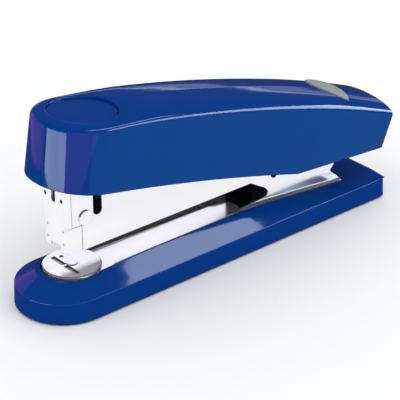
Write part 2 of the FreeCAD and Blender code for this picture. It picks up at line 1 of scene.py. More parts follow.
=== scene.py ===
# %% [markdown]
# # Dressing a desktop stapler
#
# The engineering model gives us every part of the stapler in its true place. What it doesn't give
# is the look of a real one: the rounded edges of moulded plastic, wound springs, the soft ridge
# along the cap, and surfaces that take the light. We add those here, piece by piece. Each new
# piece rides on the part that carries it, so the handle can still be pressed and the drawer still
# slides out.

# %% Loading the engineering model
import bpy
import bmesh
import json
import math
import numpy as np
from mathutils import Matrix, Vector

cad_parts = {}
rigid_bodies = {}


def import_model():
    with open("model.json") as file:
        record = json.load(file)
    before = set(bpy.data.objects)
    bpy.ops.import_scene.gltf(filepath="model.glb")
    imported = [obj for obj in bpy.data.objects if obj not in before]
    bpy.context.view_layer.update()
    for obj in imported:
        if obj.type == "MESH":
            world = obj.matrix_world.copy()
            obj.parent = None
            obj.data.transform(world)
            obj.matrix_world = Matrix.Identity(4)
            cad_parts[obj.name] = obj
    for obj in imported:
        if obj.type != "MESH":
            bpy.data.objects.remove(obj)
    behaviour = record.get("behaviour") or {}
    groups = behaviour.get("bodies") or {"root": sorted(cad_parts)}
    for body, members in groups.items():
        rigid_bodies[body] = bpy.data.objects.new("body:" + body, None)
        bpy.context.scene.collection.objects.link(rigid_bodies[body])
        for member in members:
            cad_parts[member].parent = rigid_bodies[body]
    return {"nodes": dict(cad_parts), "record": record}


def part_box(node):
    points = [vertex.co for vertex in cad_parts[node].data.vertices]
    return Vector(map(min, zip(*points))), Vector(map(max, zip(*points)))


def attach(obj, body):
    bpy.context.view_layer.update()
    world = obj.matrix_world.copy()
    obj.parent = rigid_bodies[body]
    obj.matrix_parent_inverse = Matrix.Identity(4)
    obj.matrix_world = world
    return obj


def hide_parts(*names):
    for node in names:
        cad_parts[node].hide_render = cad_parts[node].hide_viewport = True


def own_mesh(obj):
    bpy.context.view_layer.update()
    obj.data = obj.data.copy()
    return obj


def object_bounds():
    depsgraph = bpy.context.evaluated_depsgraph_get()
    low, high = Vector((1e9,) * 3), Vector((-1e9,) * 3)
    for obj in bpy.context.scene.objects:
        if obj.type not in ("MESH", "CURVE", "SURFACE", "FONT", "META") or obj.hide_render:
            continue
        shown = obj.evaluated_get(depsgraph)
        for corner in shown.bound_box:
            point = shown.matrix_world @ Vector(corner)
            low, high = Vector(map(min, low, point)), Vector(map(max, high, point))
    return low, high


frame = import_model()
cad_box = [list(corner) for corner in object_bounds()]
nodes = frame["nodes"]
print(len(nodes), "parts, overall box in mm", [[round(v * 1000, 1) for v in c] for c in cad_box])

# %% [markdown]
# ## How we measure
#
# A stapler is small, so every size below is in millimetres and one helper turns it into metres.
# Along the stapler we count from the tip of the base, because that is how one would hold a ruler
# to it. The world's origin lies under the middle instead, which is why `place` shifts each point.

# %% Millimetres and stations
MM = 0.001
TIP = cad_box[0][0] / MM          # the base's front tip, in millimetres from the origin
OVERALL = (cad_box[1][0] - cad_box[0][0]) / MM


def place(d, y, z):
    """A point d behind the tip, y across and z up, in metres."""
    return Vector(((TIP + d) * MM, y * MM, z * MM))


def station(x):
    """The distance behind the tip of a place along the stapler given in metres."""
    return x / MM - TIP


def span(node):
    """Lowest and highest corner of an engineering part, as (d, y, z) in millimetres."""
    low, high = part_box(node)
    return (station(low.x), low.y / MM, low.z / MM), (station(high.x), high.y / MM, high.z / MM)


print("overall length", round(OVERALL, 1), "mm")

# %% [markdown]
# ## The camera
#
# We look at the stapler three-quarter on, from the nose and a little above, through a long lens
# from about three quarters of a metre. A long lens keeps the near end from looking swollen. We
# could place the camera by hand, but two angles and a distance round a point in the middle of the
# stapler say the same thing in numbers that are easy to change.

# %% Camera
AZIMUTH = math.radians(-40.37)
ELEVATION = math.radians(27.92)
CAMERA_AWAY = 0.7377
LOOK_AT = place(94.3, 0, 21.6)
SENSOR = 36.0
LENS = 153.0

back = Vector((
    math.sin(AZIMUTH) * math.cos(ELEVATION),
    -math.cos(AZIMUTH) * math.cos(ELEVATION),
    math.sin(ELEVATION),
))
camera_data = bpy.data.cameras.new("portrait_camera")
camera_data.sensor_width = SENSOR
camera_data.lens = LENS
camera = bpy.data.objects.new("portrait_camera", camera_data)
camera.location = LOOK_AT + back * CAMERA_AWAY
camera.rotation_euler = (-back).to_track_quat("-Z", "Y").to_euler()
bpy.context.scene.collection.objects.link(camera)
bpy.context.scene.camera = camera
print("camera at", [round(v, 3) for v in camera.location])

# %% [markdown]
# ## Finishes
#
# Every finish is a small network of nodes round one Principled shader. An image wrapped round the
# part could do the same, but it would need seams. Noise measured in object space has none, and its
# grain keeps its size on every part. First come the helpers: one makes the shader, and the others
# wire a gentle change of colour, of polish and of height, since nothing real is perfectly even.

# %% A shader and its noise
def shader_of(name):
    material = bpy.data.materials.new(name)
    material.use_nodes = True
    tree = material.node_tree
    return material, tree, tree.nodes["Principled BSDF"]


def noise_of(tree, scale, detail=3.0, stretch=(1, 1, 1)):
    """Noise in object space; stretch below 1 draws the grain out along that axis."""
    where = tree.nodes.new("ShaderNodeTexCoord")
    squeeze = tree.nodes.new("ShaderNodeMapping")
    squeeze.inputs["Scale"].default_value = stretch
    noise = tree.nodes.new("ShaderNodeTexNoise")
    noise.inputs["Scale"].default_value = scale
    noise.inputs["Detail"].default_value = detail
    tree.links.new(where.outputs["Object"], squeeze.inputs["Vector"])
    tree.links.new(squeeze.outputs["Vector"], noise.inputs["Vector"])
    return noise.outputs["Fac"]


print("noise keeps to object space")

# %% [markdown]
# A noise is only a number between 0 and 1 at each place. It becomes a look when it is wired to
# something: it can blend two colours, move the roughness between two values, or tilt the surface a
# little. Each of the three gets a helper, so that a finish below reads like a short recipe.

# %% Wiring noise into colour, polish and height
NOISE_LOW = 0.3
NOISE_HIGH = 0.7


def colour_from(tree, shader, value, dark, light):
    """Blends two close colours by a value."""
    blend = tree.nodes.new("ShaderNodeMix")
    blend.data_type = "RGBA"
    blend.inputs["A"].default_value = (*dark, 1)
    blend.inputs["B"].default_value = (*light, 1)
    tree.links.new(value, blend.inputs["Factor"])
    tree.links.new(blend.outputs["Result"], shader.inputs["Base Color"])


def polish_from(tree, shader, value, low, high):
    """Lets the roughness drift between low and high."""
    remap = tree.nodes.new("ShaderNodeMapRange")
    remap.inputs["From Min"].default_value = NOISE_LOW
    remap.inputs["From Max"].default_value = NOISE_HIGH
    remap.inputs["To Min"].default_value = low
    remap.inputs["To Max"].default_value = high
    tree.links.new(value, remap.inputs["Value"])
    tree.links.new(remap.outputs["Result"], shader.inputs["Roughness"])


def grain_from(tree, shader, value, height):
    """Raises and sinks the surface by a height in metres, as shading only."""
    bump = tree.nodes.new("ShaderNodeBump")
    bump.inputs["Strength"].default_value = 1.0
    bump.inputs["Distance"].default_value = height
    tree.links.new(value, bump.inputs["Height"])
    tree.links.new(bump.outputs["Normal"], shader.inputs["Normal"])


finishes = {}
print("three ways to use a noise")

# %% [markdown]
# ### Gloss plastic
#
# The cap and the base are moulded in one deep blue plastic by a polished tool, so they mirror the
# room faintly and sharply. One flat colour would do for a toy. Here a slow noise moves the blue
# between two close shades, as pigment does, and a fine one varies the polish, so that streaks of
# light have a living edge. The reflection is set weaker than usual to keep the blue deep.

# %% Gloss plastic
BLUE_DARK = (0.001, 0.037, 0.212)
BLUE_LIGHT = (0.002, 0.043, 0.240)


def gloss_blue():
    material, tree, shader = shader_of("gloss_blue_plastic")
    colour_from(tree, shader, noise_of(tree, scale=60), BLUE_DARK, BLUE_LIGHT)
    polish_from(tree, shader, noise_of(tree, scale=900), low=0.045, high=0.085)
    shader.inputs["Specular IOR Level"].default_value = 0.25
    grain_from(tree, shader, noise_of(tree, scale=450, detail=2.0), height=0.000004)
    return material


finishes["blue_shell"] = gloss_blue()
print("gloss blue mixed")

# %% [markdown]
# ### Bright plate
#
# The magazine, its head, the channel in the base and the clinching plate are thin steel with a
# bright nickel skin. A pure mirror would look too clean, because plating follows the faint lines of
# the rolled sheet. So the noise is drawn out lengthwise, and the metal is kept a little short of
# fully metallic, which gives it the milky white of plate under a soft lamp.

# %% Bright plate
PLATE_DARK = (0.80, 0.81, 0.83)
PLATE_LIGHT = (0.90, 0.905, 0.92)
ROLLED = (0.2, 1, 1)


def bright_plate():
    material, tree, shader = shader_of("bright_plate")
    cloud = noise_of(tree, scale=120, detail=4.0, stretch=ROLLED)
    colour_from(tree, shader, cloud, PLATE_DARK, PLATE_LIGHT)
    polish_from(tree, shader, noise_of(tree, 900, 3.0, ROLLED), low=0.13, high=0.2)
    shader.inputs["Metallic"].default_value = 0.85
    grain_from(tree, shader, noise_of(tree, scale=1800, detail=2.0), height=0.0000004)
    return material


finishes["chrome"] = bright_plate()
print("bright plate mixed")

# %% [markdown]
# ### Drawn steel
#
# Screws, hidden pins, the lever, the drawer's channel and spring wire are bare steel, drawn through
# a die or between rolls. It is darker and duller than plate and its scratches run one way, so the
# noise is stretched much further. Springs get a copy of the same recipe under their own slot, which
# lets us change one without the other.

# %% Drawn steel
STEEL_DARK = (0.33, 0.34, 0.36)
STEEL_LIGHT = (0.52, 0.53, 0.55)
DRAWN = (0.05, 1, 1)


def drawn_steel():
    material, tree, shader = shader_of("drawn_steel")
    colour_from(tree, shader, noise_of(tree, scale=300, detail=4.0), STEEL_DARK, STEEL_LIGHT)
    polish_from(tree, shader, noise_of(tree, 2000, 3.0, DRAWN), low=0.22, high=0.42)
    shader.inputs["Metallic"].default_value = 0.95
    grain_from(tree, shader, noise_of(tree, 3000, 2.0, DRAWN), height=0.000003)
    return material


finishes["steel"] = drawn_steel()
finishes["spring_steel"] = drawn_steel()
print("drawn steel mixed, twice")

# %% [markdown]
# ### Black moulding
#
# The liner at the back, the bottom plate, the latch, the pusher and the blade's guide are black
# plastic with a matt, lightly grained face. Real black still returns a little light, so the colour
# stops short of zero. The grain comes from a fine noise in the height rather than from geometry,
# because it is far too small to model.

# %% Black moulding
BLACK_DEEP = (0.002, 0.002, 0.003)
BLACK_WORN = (0.005, 0.005, 0.006)


def black_moulding():
    material, tree, shader = shader_of("black_moulding")
    colour_from(tree, shader, noise_of(tree, scale=200), BLACK_DEEP, BLACK_WORN)
    polish_from(tree, shader, noise_of(tree, scale=1800), low=0.42, high=0.6)
    shader.inputs["Specular IOR Level"].default_value = 0.2
    grain_from(tree, shader, noise_of(tree, scale=2600, detail=4.0), height=0.00003)
    return material


finishes["black_plastic"] = black_moulding()
print("black moulding mixed")

# %% [markdown]
# ### Blackened steel
#
# The stop pin is steel blackened against rust. The oxide is thin, so the metal still gleams through
# it: we keep the shader partly metallic and smoother than the black plastic beside it.

# %% Blackened steel
OXIDE_DARK = (0.008, 0.008, 0.009)
OXIDE_LIGHT = (0.02, 0.02, 0.022)


def black_steel():
    material, tree, shader = shader_of("blackened_steel")
    colour_from(tree, shader, noise_of(tree, scale=500), OXIDE_DARK, OXIDE_LIGHT)
    polish_from(tree, shader, noise_of(tree, scale=1500), low=0.25, high=0.4)
    shader.inputs["Metallic"].default_value = 0.6
    return material


finishes["black_steel"] = black_steel()
print("blackened steel mixed")

# %% [markdown]
# ### Rubber
#
# The sole is a rubber sheet that keeps the stapler from sliding. Rubber is nearly matt and dusty
# looking, so its roughness is high and its grain is the coarsest of all the finishes.

# %% Rubber
RUBBER_DARK = (0.012, 0.012, 0.013)
RUBBER_LIGHT = (0.03, 0.03, 0.032)


def sole_rubber():
    material, tree, shader = shader_of("sole_rubber")
    colour_from(tree, shader, noise_of(tree, scale=150, detail=5.0), RUBBER_DARK, RUBBER_LIGHT)
    polish_from(tree, shader, noise_of(tree, scale=900), low=0.75, high=0.95)
    grain_from(tree, shader, noise_of(tree, scale=1300, detail=5.0), height=0.00008)
    return material


finishes["rubber"] = sole_rubber()
print("rubber mixed")

# %% [markdown]
# ### Button plastic
#
# The release button is a grey-green plastic, softer to the eye than the shell. A slightly rougher
# face spreads the highlight over its swell, which is what tells a satin finish from a gloss one.

# %% Button plastic
SAGE_DARK = (0.27, 0.33, 0.315)
SAGE_LIGHT = (0.32, 0.38, 0.36)


def button_plastic():
    material, tree, shader = shader_of("button_plastic")
    colour_from(tree, shader, noise_of(tree, scale=250), SAGE_DARK, SAGE_LIGHT)
    polish_from(tree, shader, noise_of(tree, scale=1500), low=0.26, high=0.4)
    grain_from(tree, shader, noise_of(tree, scale=1800), height=0.00001)
    return material


finishes["button_plastic"] = button_plastic()
print("button plastic mixed")

# %% [markdown]
# ### Which part wears what
#
# The engineering record already says which finish each part has and which moving body carries it.
# We read both lists instead of writing our own, so that they can't disagree.

# %% Dressing the parts
slot_of = {row["node"]: row["material_slot"] for row in frame["record"]["subparts"]}
bodies = frame["record"]["behaviour"]["bodies"]
body_of = {name: body for body, group in bodies.items() for name in group}

for name, node in nodes.items():
    for material_slot in node.material_slots:
        material_slot.material = finishes[slot_of[name]]
print(len(finishes), "finishes on", len(nodes), "parts")

# %% [markdown]
# ## Softened edges
#
# An engineering solid has knife edges, and a knife edge never catches the light. Real sheet metal
# is rounded by its die and a moulding by its tool. We copy each solid, weld its triangles back
# into whole faces and run a narrow bevel along every sharp edge. The copy stands for the original,
# which stays hidden in the same place.

# %% Handing a new piece over
def finish_piece(piece, node_names, body, slot):
    """Lets a piece ride its body, stand for its nodes and wear its finish."""
    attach(piece, body)
    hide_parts(*node_names)
    piece.data.materials.clear()
    piece.data.materials.append(finishes[slot])
    return piece


print("every new piece names its body, its nodes and its finish")

# %% [markdown]
# An engineering part arrives as many thin triangles with split corners, and a bevel can't run along
# an edge that is split. So corners in the same place are welded and triangles in one plane are
# merged. Merging by hand in edit mode gives the same mesh, but a function does it for every part.

# %% A welded copy
SAME_SPOT = 2e-6                  # metres; corners this close are one corner
FLAT_TURN = math.radians(0.5)     # faces that turn less than this are one face
KNIT_GAP = 0.4


def welded(mesh, wanted, knit):
    """Turns triangles back into whole faces and marks the edges that wanted picks out."""
    work = bmesh.new()
    work.from_mesh(mesh)
    bmesh.ops.remove_doubles(work, verts=work.verts, dist=SAME_SPOT)
    if knit:
        crowded = [vertex for vertex in work.verts if knit(vertex)]
        bmesh.ops.remove_doubles(work, verts=crowded, dist=KNIT_GAP * MM)
    bmesh.ops.dissolve_limit(
        work, angle_limit=FLAT_TURN, verts=work.verts, edges=work.edges,
        use_dissolve_boundaries=False,
    )
    for face in work.faces:
        face.smooth = True
    if wanted:
        weights = work.edges.layers.float.new("bevel_weight_edge")
        for edge in work.edges:
            edge[weights] = float(wanted(edge))
    work.to_mesh(mesh)
    work.free()
    if "custom_normal" in mesh.attributes:
        mesh.attributes.remove(mesh.attributes["custom_normal"])


print("corners closer than", SAME_SPOT / MM, "mm are welded")

# %% [markdown]
# The bevel is left on the copy as a modifier, so its width can still be changed. Its normals are
# hardened, which keeps the broad faces flat and puts all the shading on the rounded edge.

# %% Softened copies
def softened(node_name, width, segments=2, angle=28, wanted=None, knit=None):
    """A copy of a part with its edges rounded to width millimetres.

    Every edge sharper than angle is rounded, or only the ones that wanted(edge) picks out.
    knit(vertex) picks corners that are welded to any neighbour closer than KNIT_GAP.
    """
    mesh = nodes[node_name].data.copy()
    mesh.name = node_name + "_soft"
    welded(mesh, wanted, knit)
    piece = bpy.data.objects.new(node_name + "_soft", mesh)
    bpy.context.scene.collection.objects.link(piece)
    bevel = piece.modifiers.new("rounded_edges", "BEVEL")
    bevel.width = width * MM
    bevel.segments = segments
    bevel.limit_method = "WEIGHT" if wanted else "ANGLE"
    bevel.angle_limit = math.radians(angle)
    bevel.harden_normals = True
    bevel.use_clamp_overlap = True
    mesh.set_sharp_from_angle(angle=math.radians(angle))
    return finish_piece(piece, [node_name], body_of[node_name], slot_of[node_name])


print("ready to soften")

# %% [markdown]
# Thick plate is rounded more than thin, and a fine pin only a hair. The list says how much, in
# millimetres, for each part.

# %% Rounding the small parts
SOFT_EDGES = {
    "lower_channel": 0.28, "rear_liner": 0.3, "anvil_tongue": 0.28, "magazine_frame": 0.28,
    "head_plate": 0.3, "drawer_head": 0.28, "drawer_channel": 0.12, "driver_guide": 0.2,
    "driver_blade": 0.08, "pusher": 0.3, "lever": 0.15, "latch": 0.25, "clinch_wings": 0.1,
    "main_pivot_pin": 0.2, "stop_pin": 0.15, "anvil_pin": 0.12, "latch_pin": 0.1, "slot_pin": 0.15,
    "guide_rod": 0.15, "bottom_plate": 0.25, "sole_pad": 0.25, "disc_rivet": 0.12,
    "guide_rivet": 0.12, "anvil_disc": 0.1,
}
for name, width in SOFT_EDGES.items():
    softened(name, width)
print(len(SOFT_EDGES), "parts with softened edges")

# %% [markdown]
# ### The base
#
# The base has one long crease, where its sloping shoulder meets the upright skirt, and it catches a
# fine bright line all round. It gets a wider bevel with more steps. We could bevel the whole part
# so, but the screw bores underneath have facets too short for this width and would pull the bevel
# thin everywhere. So only the crease is marked, after its slivers are knitted together.

# %% The base
SKIRT_BAND = (9.6, 10.1)          # heights that hold the crease
OUTSIDE_Y = 19.0
OUTSIDE_X = 72.0
CREASE_TURNS = (20, 86)           # degrees
BASE_ROUND = 0.6


def on_skirt_line(vertex):
    x, y, z = vertex.co / MM
    outside = abs(y) > OUTSIDE_Y or abs(x) > OUTSIDE_X
    return outside and SKIRT_BAND[0] < z < SKIRT_BAND[1]


def skirt_edge(edge):
    """True along the crease where the sloping shoulder meets the upright skirt."""
    if len(edge.link_faces) != 2 or not edge.is_convex:
        return False
    least, most = CREASE_TURNS
    turn = math.degrees(edge.calc_face_angle())
    return least < turn < most and all(on_skirt_line(vertex) for vertex in edge.verts)


base = softened(
    "base_shell", BASE_ROUND, segments=3, angle=14, wanted=skirt_edge, knit=on_skirt_line,
)
print("base crease rounded to", BASE_ROUND, "mm")

# %% [markdown]
# ## The cap
#
# The blue cap is one moulding: a long domed roof, a round nose, and walls that lean out a little
# so that it leaves its mould. We could sculpt it from a cube with subdivision, but its edges follow
# drawn curves, so we build it from those curves instead: a crease line where roof meets wall, and a
# rim line below. First come the curves as small functions.

# %% The cap's guiding lines
def circle_through(a, b, c):
    """Centre and radius of the circle through three (d, z) points."""
    a, b, c = np.array(a), np.array(b), np.array(c)
    centre = np.linalg.solve(2 * np.array([b - a, c - a]), [b @ b - a @ a, c @ c - a @ a])
    return centre, float(np.linalg.norm(a - centre))


CAP_TAIL = 193.5
CAP_HALF = 19.4
CAP_DRAFT = 0.054                 # how far the wall leans out for each millimetre down
CREASE_CENTRE, CREASE_R = circle_through((12.8, 84.9), (102.8, 68.6), (CAP_TAIL, 40.1))
RIM_CENTRE, RIM_R = circle_through((6.0, 58.9), (76.6, 44.7), (132.8, 29.5))
RIM_KINK = 132.8
RIM_FOOT = 186.0
KINK_Z = 29.5
FOOT_Z = 25.2


def crease_z(d):
    return CREASE_CENTRE[1] + math.sqrt(CREASE_R ** 2 - (d - CREASE_CENTRE[0]) ** 2)


def rim_z(d):
    if d <= RIM_KINK:
        return RIM_CENTRE[1] + math.sqrt(RIM_R ** 2 - (d - RIM_CENTRE[0]) ** 2)
    share = (d - RIM_KINK) / (RIM_FOOT - RIM_KINK)
    return KINK_Z + (FOOT_Z - KINK_Z) * share


print("crease radius", round(CREASE_R), "mm, rim radius", round(RIM_R), "mm")

# %% [markdown]
# ### The dome
#
# Across the cap the roof is a soft dome with a faint ridge along the middle. We write it as a
# share, 1 on the ridge and 0 at the crease: a straight fall makes the ridge, a steep power makes
# the round shoulder. Near the nose the roof flattens out, so the dome's height changes with the
# station. A sculpted surface could look the same, but this one can be asked for its height
# anywhere, which the pad, the button and the posts all need.

# %% The dome's height
PAD_AT = 33.0
NOSE_REACH = 20.6
NOSE_POWER = 2.1
RIDGE_FALL = 0.2
RIDGE_ROUND = 0.016
SHOULDER_POWER = 4.5
TAIL_POWER = 1.3                  # how much the power drops towards the tail
TAIL_POWER_FROM = 150
DOME_NOSE = 0.8                   # heights over the crease
DOME_MIDDLE = 3.1
DOME_TAIL = 0.6
DOME_RISE = (27, 62)
DOME_TAIL_FROM = 120


def ease(value, start, end):
    """0 before start, 1 after end, and a smooth step between."""
    share = min(max((value - start) / (end - start), 0.0), 1.0)
    return share * share * (3 - 2 * share)


def plan_share(d, y):
    """How far out a place is: 0 on the middle line, 1 on the crease."""
    out = abs(y) / CAP_HALF
    if d < PAD_AT:
        ahead = (PAD_AT - d) / NOSE_REACH
        out = (out ** NOSE_POWER + ahead ** NOSE_POWER) ** (1 / NOSE_POWER)
    return math.sqrt(out * out + RIDGE_ROUND ** 2) - RIDGE_ROUND


def roof_z(d, y):
    out = min(plan_share(d, y), 1.0)
    power = SHOULDER_POWER - TAIL_POWER * ease(d, TAIL_POWER_FROM, CAP_TAIL)
    dome = 1 - RIDGE_FALL * out - (1 - RIDGE_FALL) * out ** power
    height = DOME_NOSE + DOME_MIDDLE * ease(d, *DOME_RISE)
    height += DOME_TAIL * ease(d, DOME_TAIL_FROM, CAP_TAIL)
    return crease_z(d) + height * dome


def roof(d, y):
    return place(d, y, roof_z(d, y))


print("roof over pad, middle and tail:", [round(roof_z(d, 0), 1) for d in (33, 103, 193)])

# %% [markdown]
# ### Stations round the cap
#
# We walk round the edge of the cap, from the near side of the tail, round the nose, to the far side
# of the tail. Each station holds three points: one on the crease, one straight below on the rim,
# and the one inside that the roof leans to. The nose is an oval drawn with a power a little above
# two, which is a touch squarer than an ellipse.

# %% Stations
SIDE_STEP = 4.0
NOSE_STEPS = 44
RIM_NOSE_AT = 29.0
RIM_NOSE_REACH = 20.4
BUTTON_AT = 169.0
STRETCH = (CAP_TAIL - PAD_AT) / (RIM_FOOT - RIM_NOSE_AT)


def side_places():
    """Rim stations from the foot forward to the nose, with one exactly on the kink."""
    tail = np.linspace(RIM_FOOT, RIM_KINK, round((RIM_FOOT - RIM_KINK) / SIDE_STEP) + 1)
    front = np.linspace(RIM_KINK, RIM_NOSE_AT, round((RIM_KINK - RIM_NOSE_AT) / SIDE_STEP) + 1)
    return list(tail) + list(front[1:])


def edge_station(crease_d, crease_y, rim_d, rim_grow):
    drop = crease_z(crease_d) - rim_z(rim_d)
    rim_y = crease_y + CAP_DRAFT * drop * rim_grow
    inner = (max(crease_d, PAD_AT), 0.0)
    return {"crease": (crease_d, crease_y), "rim": (rim_d, rim_y), "inner": inner}


def cap_stations():
    sides = [(PAD_AT + (r - RIM_NOSE_AT) * STRETCH, r) for r in side_places()]
    near = [edge_station(d, -CAP_HALF, r, -1) for d, r in sides]
    nose = []
    for step in range(1, NOSE_STEPS):
        angle = math.pi * step / NOSE_STEPS - math.pi / 2
        across = math.copysign(abs(math.sin(angle)) ** (2 / NOSE_POWER), angle)
        ahead = math.cos(angle) ** (2 / NOSE_POWER)
        nose.append(edge_station(
            PAD_AT - NOSE_REACH * ahead, CAP_HALF * across,
            RIM_NOSE_AT - RIM_NOSE_REACH * ahead, across,
        ))
    far = [edge_station(d, CAP_HALF, r, 1) for d, r in reversed(sides)]
    return near + nose + far


stations = cap_stations()
print(len(stations), "stations round the cap")

# %% [markdown]
# ### The rounded shoulder
#
# Where roof meets wall the moulding is rounded, broadly at the nose and tightly along the sides.
# A curve with three control points does it: one on the roof, one on the crease, one on the wall.
# The curve starts along the roof and ends along the wall, so no line shows where it joins them.

# %% One column of the belt, from roof to rim
NOSE_ROUND = 2.6
SIDE_ROUND = 1.5
ROUND_CHANGES = (20, 50)
ROUND_STEPS = 6
WALL_STEPS = 5


def round_width(d):
    return SIDE_ROUND + (NOSE_ROUND - SIDE_ROUND) * (1 - ease(d, *ROUND_CHANGES))


def belt_column(row):
    """Points of one station: the roof's edge, the rounding, the wall and the rim."""
    (cd, cy), (rd, ry), (qd, qy) = row["crease"], row["rim"], row["inner"]
    width = round_width(cd)
    share = width / math.hypot(qd - cd, qy - cy)
    edge_d, edge_y = cd + (qd - cd) * share, cy + (qy - cy) * share
    top = roof(edge_d, edge_y)
    corner = place(cd, cy, crease_z(cd))
    rim = place(rd, ry, rim_z(rd))
    wall_top = corner + (rim - corner).normalized() * width * MM
    column = []
    for step in range(ROUND_STEPS + 1):
        t = step / ROUND_STEPS
        column.append(top * (1 - t) ** 2 + corner * (2 * t * (1 - t)) + wall_top * t * t)
    column += [wall_top.lerp(rim, step / WALL_STEPS) for step in range(1, WALL_STEPS + 1)]
    return column, (edge_d, edge_y)


belt = [belt_column(row) for row in stations]
columns = [column for column, edge in belt]
roof_edge = [edge for column, edge in belt]
print("belt of", len(columns), "columns,", len(columns[0]), "points each")

# %% [markdown]
# ### Rows into skin
#
# A helper lays faces between rows of points. Each patch of the cap is a few rows, and points that
# fall on the same place are welded afterwards, so the patches needn't know about each other.

# %% Laying skin
def skin(work, rows, closed=False):
    """Quads between neighbouring rows of points; closed joins the last row to the first."""
    made = [[work.verts.new(point) for point in row] for row in rows]
    pairs = list(zip(made, made[1:])) + ([(made[-1], made[0])] if closed else [])
    for one, two in pairs:
        for k in range(len(one) - 1):
            work.faces.new((one[k], one[k + 1], two[k + 1], two[k]))
    return made


# %% [markdown]
# ### The thumb pad
#
# The round pad on the nose is a faintly domed disc with a fine groove round it. It is concentric with
# the nose, so rings round its centre are the natural mesh: pad, groove, a small step up, and then wider
# and wider rings out to the edge of the roof. The last ring runs along a straight line across the
# cap, where the long roof takes over.

# %% Where the rings meet the long roof
JOIN_NEAR = 62
cross_half = [0.0, 0.5, 2, 4, 6, 8, 10, 12, 13.4, 14.5, 15.6, 16.6, 17.5]
cross_places = [-y for y in reversed(cross_half[1:])] + cross_half
near_side = range(len(stations) // 2)
join_index = min(near_side, key=lambda k: abs(stations[k]["crease"][0] - JOIN_NEAR))
join_at = stations[join_index]["crease"][0]
print("rings end", round(join_at, 1), "mm behind the tip")

# %% [markdown]
# The pad has its own height: a plane that tilts like the roof round it, swells a little in the
# middle and sweeps up at the back.

# %% The pad's own height
PAD_R = 14.6
PAD_SINK = 0.1
PAD_BELLY = 0.3
PAD_SWEEP = 1.5
pad_slope = (crease_z(PAD_AT + 1) - crease_z(PAD_AT - 1)) / 2


def pad_z(d, y, sink=0.0):
    """A plane tilted like the roof, with a low belly and an upward sweep at the back."""
    belly = PAD_BELLY * (1 - ((d - PAD_AT) ** 2 + y * y) / PAD_R ** 2)
    sweep = PAD_SWEEP * (max(d - PAD_AT, 0) / PAD_R) ** 2
    return crease_z(PAD_AT) - PAD_SINK + pad_slope * (d - PAD_AT) + belly + sweep - sink


print("pad centre", round(pad_z(PAD_AT, 0), 1), "mm up")

# %% [markdown]
# A groove could be cut with a boolean, but that leaves ragged faces that shade badly on gloss. Here
# each spoke simply steps down into the groove, up its outer wall and on to the roof, so the whole
# nose is one even net of four-sided faces.

# %% Spokes across the pad, the groove and the roof
GROOVE = 0.42
GROOVE_RISE = 0.05
LIP = 0.5
PAD_INSETS = ((PAD_R, 0), (10.6, 0), (6.8, 0), (3.6, 0), (1.6, 0), (0.7, 0), (0.48, 0.05))
GROOVE_INSETS = (0.35, 0.05)
LIP_STEPS = ((0.0, 0.5), (0.06, 0.24), (0.22, 0.06))
ROOF_SHARES = (0, 0.1, 0.25, 0.45, 0.65, 0.84, 1.0)


def pad_spoke(end):
    """Points from the pad's centre out to one point on the roof's border."""
    (ed, ey) = end
    reach = math.hypot(ed - PAD_AT, ey)
    ud, uy = (ed - PAD_AT) / reach, ey / reach

    def at(r):
        return PAD_AT + ud * r, uy * r

    spoke = []
    for inset, sink in PAD_INSETS + tuple((inset, GROOVE) for inset in GROOVE_INSETS):
        spoke.append(place(*at(PAD_R - inset), pad_z(*at(PAD_R - inset), sink)))
    top = roof_z(*at(PAD_R + LIP))
    for grow, fall in LIP_STEPS:
        spot = at(PAD_R + grow)
        spoke.append(place(*spot, max(top - fall, pad_z(*spot, GROOVE - GROOVE_RISE))))
    for share in ROOF_SHARES:
        spoke.append(roof(*at(PAD_R + LIP + (reach - PAD_R - LIP) * share)))
    return spoke


nose_edge = roof_edge[join_index:len(stations) - join_index]
cross_line = [(join_at, y) for y in reversed(cross_places)]
spokes = [pad_spoke(end) for end in nose_edge + cross_line]
print("pad of", len(spokes), "spokes,", len(spokes[0]), "points each")

# %% [markdown]
# ### The long roof and the button's window
#
# Behind the pad, straight rows across the cap make the roof. Near the tail a pointed oval window
# lets the button through. Its two sides are arcs, so the rows on either side bend gently towards
# those arcs, and the rows further off bend less. That keeps every face a clean four-sided one.

# %% Rows of the long roof
WINDOW_REACH = 14.5
WINDOW_HALF = 6.6
BEND_REACH = 26.0
EDGE_POWER = 8                    # how late the bend dies out towards the edge


def lens_half(y, reach, half):
    """Half width, along the cap, of a pointed oval that reaches that far across."""
    side = (reach ** 2 - half ** 2) / (2 * half)
    radius = side + half
    return max(math.sqrt(max(radius ** 2 - y * y, 0)) - side, 0.0)


side_rows = [(stations[k]["crease"][0], abs(roof_edge[k][1])) for k in range(join_index + 1)]
window_at = min(side_rows, key=lambda row: abs(row[0] - BUTTON_AT))[0]


def roof_row(d, edge_y, sign):
    near = max(0.0, 1 - abs(d - window_at) / BEND_REACH)
    row = []
    for y in [-edge_y] + cross_places + [edge_y]:
        centring = (BUTTON_AT - window_at) * (1 - (y / edge_y) ** EDGE_POWER)
        shift = near * (centring + sign * lens_half(y, WINDOW_REACH, WINDOW_HALF))
        row.append(roof(min(d + shift, CAP_TAIL), y))
    return row


front_rows = [roof_row(d, y, -1) for d, y in side_rows if d <= window_at]
rear_rows = [roof_row(d, y, 1) for d, y in side_rows if d >= window_at]
print("roof rows:", len(front_rows), "ahead of the button,", len(rear_rows), "behind it")

# %% [markdown]
# ### Closing the tail and giving the wall its thickness
#
# Two flat faces close the tail: an upright one under the roof and one that slants forward to the
# rim. Each is one many-sided face, because it is flat and nothing is gained by cutting it up.

# %% The tail
def new_piece(name, work):
    mesh = bpy.data.meshes.new(name)
    for face in work.faces:
        face.smooth = True
    work.to_mesh(mesh)
    work.free()
    piece = bpy.data.objects.new(name, mesh)
    bpy.context.scene.collection.objects.link(piece)
    return piece


